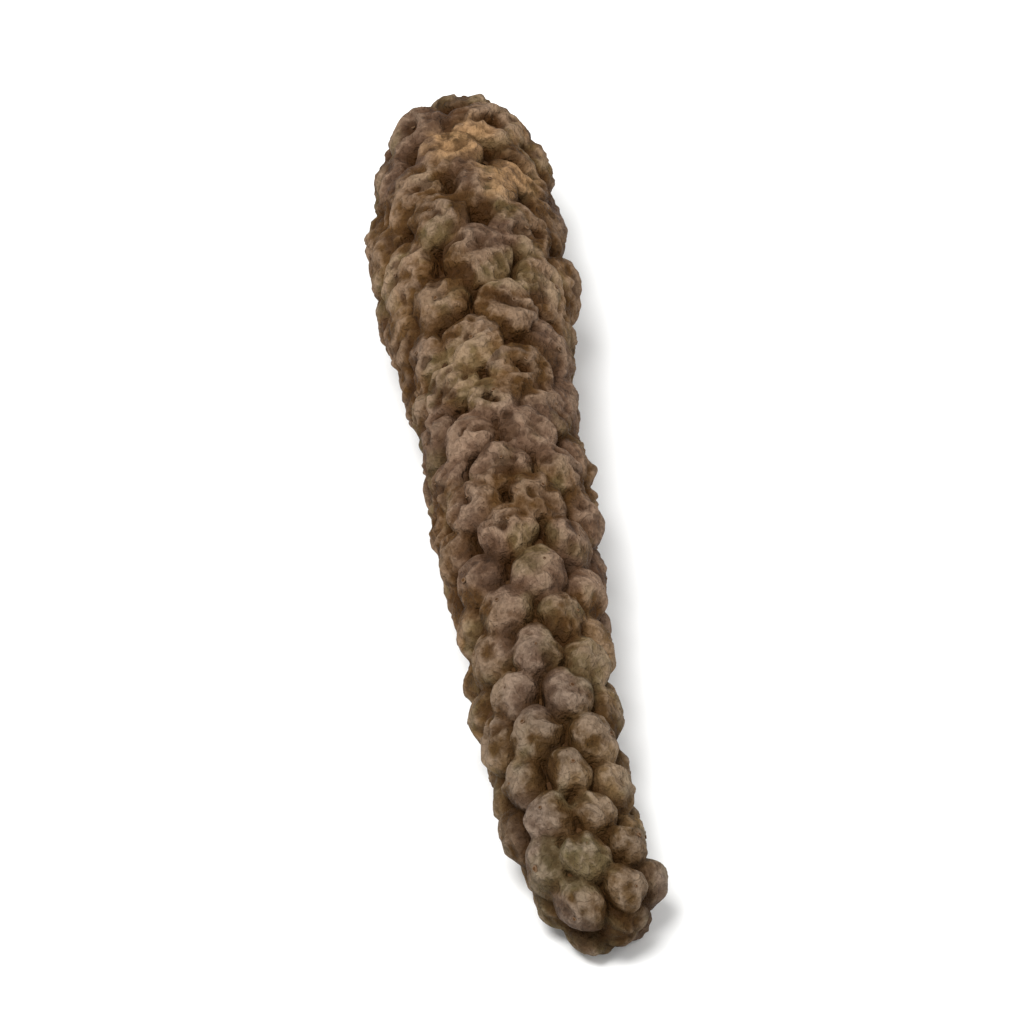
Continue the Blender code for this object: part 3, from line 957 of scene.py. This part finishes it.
def tilted(outward, ahead, across, tilt, way):
    """The three vectors leant over by tilt, towards the direction way round the first of them."""
    cos, sin = np.cos(way)[:, None], np.sin(way)[:, None]
    toward, beside = cos * ahead + sin * across, cos * across - sin * ahead
    up = np.cos(tilt)[:, None] * outward + np.sin(tilt)[:, None] * toward
    along = np.cos(tilt)[:, None] * toward - np.sin(tilt)[:, None] * outward
    return up, along, beside


class SceneOperator:
    """What the operators of the pieces share: the user's settings, the spike's surface, and the end of every piece."""

    bl_options = {"REGISTER", "UNDO"}

    @staticmethod
    def begin(context):
        """The user's sizes and colours, and the fine surface of the laid-out spike."""
        sizes, colours = context.scene.pepper_sizes, context.scene.pepper_colours
        return sizes, colours, Skin(*laid_out(), sizes)

    @staticmethod
    def finish_piece(piece, material):
        """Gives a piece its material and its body."""
        piece.data.materials.append(material)
        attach(piece, "root")


class RoundBodies(SceneOperator):
    """What the scales and the flower rests share: one small closed round body for each berry but the tip's.

    PROFILE runs from the underside's middle over the rim to the top's middle, as (share of the radius, height). The
    others are ranges of random draws, in this order: the tilt, the lift over the skin in millimetres, the share of
    the user's radius, and the number and the size of the lobes.
    """

    LIFTS = None

    def build(self, name, material, skin, draw, along, turn, radius):
        """The piece, from the places of its bodies on the skin."""
        count = len(along)
        height, _ = skin.at(along, turn)
        axes = skin.core.frame_at(along, turn)
        lean = tilted(*axes, draw.uniform(*self.TILTS, count), draw.uniform(0, FULL_TURN, count))
        if self.LIFTS:
            height = height + draw.uniform(*self.LIFTS, count) * MM
        middles = skin.core.point(along, turn, height)
        radii = radius * draw.uniform(*self.RADII, count)
        lobes = (
            draw.integers(*self.LOBE_COUNTS, count),
            draw.uniform(0, FULL_TURN, count),
            draw.uniform(*self.LOBE_SIZES, count),
        )
        first, rings, last = round_forms(middles, *lean, self.PROFILE, radii, lobes)
        share = np.array([point[0] for point in self.PROFILE])
        edge = np.broadcast_to(share[None, 1:-1, None], rings.shape[:3])
        tone = np.broadcast_to(draw.random(count)[:, None, None], rings.shape[:3])
        masks = {
            "edge": with_poles(edge, np.zeros(count), np.zeros(count)),
            "tone": with_poles(tone, tone[:, 0, 0], tone[:, 0, 0]),
        }
        piece = ringed_mesh(name, above_floor(first), above_floor(rings), above_floor(last), masks)
        self.finish_piece(piece, material)


class PEPPER_OT_skin(SceneOperator, bpy.types.Operator):
    """Build the fine skin of the whole spike, with all its berries, in place of the plain solid"""

    bl_idname = "pepper.skin"
    bl_label = "Skin"

    def execute(self, context):
        sizes, colours, skin = self.begin(context)
        core = skin.core
        step = core.total / (sizes.rows + 1)
        along, turn = skin_grid(step * np.arange(1, sizes.rows + 1), sizes.columns)
        height, masks = skin.at(along, turn)
        poles, pole_masks = skin.at(np.array([0.0, core.total]), np.zeros(2))
        rings = above_floor(core.point(along, turn, height))[None]
        ends = above_floor(core.point(np.array([0.0, core.total]), np.zeros(2), poles))
        masks = {
            name: with_poles(values[None], pole_masks[name][:1], pole_masks[name][1:])
            for name, values in masks.items()
        }
        piece = ringed_mesh("pepper_skin", ends[:1], rings, ends[1:], masks)
        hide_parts("pepper_spike")
        self.finish_piece(piece, skin_material(colours))
        return {"FINISHED"}


class PEPPER_OT_scales(RoundBodies, bpy.types.Operator):
    """Build the small dry scales that sit in the hollows, one on the stalk side of each berry"""

    bl_idname = "pepper.scales"
    bl_label = "Scales"

    UNDERSIDE = ((0, -0.16), (0.55, -0.14), (0.9, -0.02))
    PROFILE = (*UNDERSIDE, (1.0, 0.06), (0.93, 0.13), (0.7, 0.10), (0.35, 0.16), (0, 0.22))
    TILTS = (0.1, 0.6)
    LIFTS = (0.02, 0.12)
    RADII = (0.6, 1.2)
    LOBE_COUNTS = (2, 5)
    LOBE_SIZES = (0.08, 0.22)

    # The grid of places tried for each scale, as shares of the berries' pitch from the berry's middle.
    GRID_AHEAD = (-0.75, -0.42)
    GRID_ROUND = (-0.30, 0.30)
    GRID_POINTS = 9
    NEAREST_TO_END = 0.1 * MM

    def execute(self, context):
        sizes, colours, skin = self.begin(context)
        draw = np.random.default_rng(SCALE_SEED)
        along, turn = self.lowest_places(skin)
        self.build("pepper_scales", scale_material(colours), skin, draw, along, turn, sizes.scale_radius)
        return {"FINISHED"}

    def lowest_places(self, skin):
        """The bottom of the hollow on the stalk side of each berry: the lowest of a small grid of places there."""
        berries = skin.berries
        count = len(berries.along) - 1
        pitch = berries.pitch[:count, None]
        ways = (np.linspace(*span, self.GRID_POINTS) for span in (self.GRID_AHEAD, self.GRID_ROUND))
        ahead, sideways = np.meshgrid(*ways, indexing="ij")
        along = np.maximum(berries.along[:count, None] + ahead.ravel() * pitch, self.NEAREST_TO_END)
        turn = berries.turn[:count, None] + sideways.ravel() * pitch / skin.core.radius_at(along)
        height, _ = skin.at(along, turn)
        lowest = height.argmin(axis=1)
        rows = np.arange(count)
        return along[rows, lowest], turn[rows, lowest]


class PEPPER_OT_flower_rests(RoundBodies, bpy.types.Operator):
    """Build the shrivelled rest of the flower on the crown of each berry"""

    bl_idname = "pepper.flower_rests"
    bl_label = "Flower rests"

    PROFILE = ((0, -0.5), (0.8, -0.4), (1.0, 0.0), (0.95, 0.22), (0.7, 0.40), (0.4, 0.30), (0, 0.08))
    TILTS = (0.0, 0.25)
    RADII = (0.3, 1.2)
    LOBE_COUNTS = (3, 5)
    LOBE_SIZES = (0.06, 0.24)
    OFF_MIDDLE = 0.10 * MM

    def execute(self, context):
        sizes, colours, skin = self.begin(context)
        draw = np.random.default_rng(FLOWER_SEED)
        berries = skin.berries
        count = len(berries.along) - 1
        shift = draw.normal(0, self.OFF_MIDDLE, (2, count))
        along = berries.along[:count] + shift[0]
        turn = berries.turn[:count] + shift[1] / skin.core.radius_at(along)
        material = flower_rest_material(colours)
        self.build("pepper_flower_rests", material, skin, draw, along, turn, sizes.flower_rest_radius)
        return {"FINISHED"}


class PEPPER_OT_fibres(SceneOperator, bpy.types.Operator):
    """Build the torn fibres that stand out of the broken stalk"""

    bl_idname = "pepper.fibres"
    bl_label = "Stalk fibres"

    # Where they stand, as a share of the stub's radius, and how deep. Then the ranges of the random draws: the tilt,
    # the share of the user's length, the thickness in millimetres, and the sideways reach of the curl for each
    # length. Last, the rings of points along a fibre, and the share of its thickness that is lost at the tip.
    SPREAD = 0.86
    ROOT_DEPTH = 0.08 * MM
    TILTS = (0.0, 0.5)
    LENGTHS = (0.25, 1.0)
    THICKNESSES = (0.022, 0.055)
    CURLS = (-0.5, 0.5)
    ROWS = 7
    TAPER = 0.8

    def execute(self, context):
        sizes, colours, skin = self.begin(context)
        core = skin.core
        draw = np.random.default_rng(FIBRE_SEED)
        count = sizes.fibres
        along = STALK_RADIUS * self.SPREAD * np.sqrt(draw.random(count))
        turn = draw.uniform(0, FULL_TURN, count)
        height, _ = skin.at(along, turn)
        roots = core.point(along, turn, height - self.ROOT_DEPTH)
        axes = core.frame_at(along, turn)
        lean = tilted(*axes, draw.uniform(*self.TILTS, count), draw.uniform(0, FULL_TURN, count))
        length = sizes.fibre_length * draw.uniform(*self.LENGTHS, count)
        thickness = draw.uniform(*self.THICKNESSES, count) * MM
        rings, ends = self.tapered(roots, lean, length, thickness, draw.uniform(*self.CURLS, count))
        tip = np.linspace(0, 1, self.ROWS)
        edge = np.broadcast_to(tip[None, :, None], rings.shape[:3])
        masks = {"edge": with_poles(edge, np.zeros(count), np.ones(count))}
        piece = ringed_mesh("pepper_stalk_fibres", above_floor(roots), above_floor(rings), above_floor(ends), masks)
        self.finish_piece(piece, fibre_material(colours))
        return {"FINISHED"}

    def tapered(self, roots, lean, length, thickness, curl):
        """Thin tapered rods: a circle that shrinks on its way out from each root, along a path that curls.

        At a share s of its length the path is s * length out and curl * s^2 * length to the side, and the circle's
        radius is thickness * (1 - taper * s).
        """
        outward, ahead, across = lean
        share = np.linspace(0, 1, self.ROWS)[None, :, None]
        angle = np.arange(FIBRE_COLUMNS) * FULL_TURN / FIBRE_COLUMNS
        out = (length[:, None, None] * share)[..., None] * outward[:, None, None]
        bend = (length[:, None, None] * curl[:, None, None] * share**2)[..., None] * ahead[:, None, None]
        size = (thickness[:, None, None] * (1 - self.TAPER * share))[..., None]
        circle = np.cos(angle)[None, :, None] * ahead[:, None] + np.sin(angle)[None, :, None] * across[:, None]
        rings = roots[:, None, None] + out + bend + size * circle[:, None]
        ends = roots + length[:, None] * (outward + curl[:, None] * ahead)
        return rings, ends


class PEPPER_OT_stage(SceneOperator, bpy.types.Operator):
    """Build the plain pale floor, the soft lights and the camera"""

    bl_idname = "pepper.stage"
    bl_label = "Stage"

    # Metres and radians, with each light's turn away from the camera's azimuth, and the sensor in millimetres.
    FLOOR_SIDE = 6.0
    LIGHT_DISTANCE = 0.5
    KEY_LIGHT = {"turn": -0.75, "elevation": 1.20, "side": 0.22}
    FILL_LIGHT = {"turn": 0.95, "elevation": 0.75, "side": 0.40}
    SENSOR_WIDTH = 36.0
    CLIP_RANGE = (0.01, 20.0)

    def execute(self, context):
        settings = context.scene.pepper_stage
        self.make_floor(settings)
        self.make_sky(context, settings)
        aim = self.make_camera(context, settings)
        self.make_light("key_light", aim, settings.azimuth, settings.key_power, **self.KEY_LIGHT)
        self.make_light("fill_light", aim, settings.azimuth, settings.fill_power, **self.FILL_LIGHT)
        context.scene.view_settings.view_transform = "Standard"
        return {"FINISHED"}

    def make_floor(self, settings):
        """A plain square round the origin."""
        half = self.FLOOR_SIDE / 2
        mesh = bpy.data.meshes.new("floor")
        mesh.from_pydata([(-half, -half, 0), (half, -half, 0), (half, half, 0), (-half, half, 0)], [], [(0, 1, 2, 3)])
        floor = bpy.data.objects.new("floor", mesh)
        bpy.context.scene.collection.objects.link(floor)
        nodes = Nodes("pale_floor", roughness=0.9, specular=0.1)
        nodes.shade("Base Color", tuple(settings.floor_colour))
        mesh.materials.append(nodes.material)

    @staticmethod
    def make_sky(context, settings):
        """An even white sky."""
        world = bpy.data.worlds.new("soft_sky")
        world.use_nodes = True
        background = world.node_tree.nodes["Background"]
        background.inputs["Color"].default_value = (1.0, 1.0, 1.0, 1.0)
        background.inputs["Strength"].default_value = settings.sky_strength
        context.scene.world = world

    @staticmethod
    def looking(azimuth, elevation):
        """Unit vectors of a view: to its right, up in it, and back towards the viewer."""
        right = np.array([math.cos(azimuth), math.sin(azimuth), 0.0])
        flat = math.cos(elevation)
        back = np.array([math.sin(azimuth) * flat, -math.cos(azimuth) * flat, math.sin(elevation)])
        return right, np.cross(back, right), back

    def placed(self, thing, azimuth, elevation, middle, distance):
        """Puts a light or the camera at that distance from the middle, facing it."""
        right, up, back = self.looking(azimuth, elevation)
        holder = bpy.data.objects.new(thing.name, thing)
        matrix = np.eye(4)
        matrix[:3, 0], matrix[:3, 1], matrix[:3, 2], matrix[:3, 3] = right, up, back, middle + distance * back
        holder.matrix_world = matrix.T.tolist()
        bpy.context.scene.collection.objects.link(holder)
        return holder

    def make_light(self, name, aim, azimuth, power, turn, elevation, side):
        """A square light that faces the aim, from a turn away from the camera's azimuth."""
        light = bpy.data.lights.new(name, "AREA")
        light.shape, light.size, light.energy = "SQUARE", side, power
        self.placed(light, azimuth + turn, elevation, aim, self.LIGHT_DISTANCE)

    def make_camera(self, context, settings):
        """A long lens, as far off as lets the spike fill its share of the picture's height, aimed at its middle.

        Returns that middle.
        """
        skin = bpy.data.objects["pepper_skin"].data
        points = np.empty(len(skin.vertices) * 3, np.float32)
        skin.vertices.foreach_get("co", points)
        points = points.reshape(-1, 3)
        right, up, back = self.looking(settings.azimuth, settings.elevation)
        aim = np.zeros(3)
        for way in (right, up, back):
            reach = points @ way
            aim += way * ((reach.min() + reach.max()) / 2)
        camera = bpy.data.cameras.new("camera")
        camera.lens, camera.sensor_width = settings.lens, self.SENSOR_WIDTH
        camera.clip_start, camera.clip_end = self.CLIP_RANGE
        distance = np.ptp(points @ up) / settings.filled * camera.lens / camera.sensor_width
        context.scene.camera = self.placed(camera, settings.azimuth, settings.elevation, aim, distance)
        return aim


class PEPPER_PT_panel(bpy.types.Panel):
    """The sidebar tab that lists the pieces and their settings"""

    bl_idname = "PEPPER_PT_panel"
    bl_label = "Long Pepper"
    bl_space_type = "VIEW_3D"
    bl_region_type = "UI"
    bl_category = "Long Pepper"

    def draw(self, context):
        layout = self.layout
        for group in (context.scene.pepper_sizes, context.scene.pepper_colours, context.scene.pepper_stage):
            box = layout.box()
            for name in group.bl_rna.properties.keys():
                if name not in ("name", "rna_type"):
                    box.prop(group, name)
        for operator in OPERATORS:
            layout.operator(operator.bl_idname)


OPERATORS = (PEPPER_OT_skin, PEPPER_OT_scales, PEPPER_OT_flower_rests, PEPPER_OT_fibres, PEPPER_OT_stage)
CLASSES = (SkinSizes, SkinColours, StageSettings, *OPERATORS, PEPPER_PT_panel)


def register():
    for cls in CLASSES:
        bpy.utils.register_class(cls)
    bpy.types.Scene.pepper_sizes = bpy.props.PointerProperty(type=SkinSizes)
    bpy.types.Scene.pepper_colours = bpy.props.PointerProperty(type=SkinColours)
    bpy.types.Scene.pepper_stage = bpy.props.PointerProperty(type=StageSettings)


def unregister():
    del bpy.types.Scene.pepper_sizes
    del bpy.types.Scene.pepper_colours
    del bpy.types.Scene.pepper_stage
    for cls in reversed(CLASSES):
        bpy.utils.unregister_class(cls)


def main():
    """Builds every piece and the stage."""
    register()
    bpy.ops.pepper.skin()
    bpy.ops.pepper.scales()
    bpy.ops.pepper.flower_rests()
    bpy.ops.pepper.fibres()
    bpy.ops.pepper.stage()


if __name__ == "__main__":
    main()
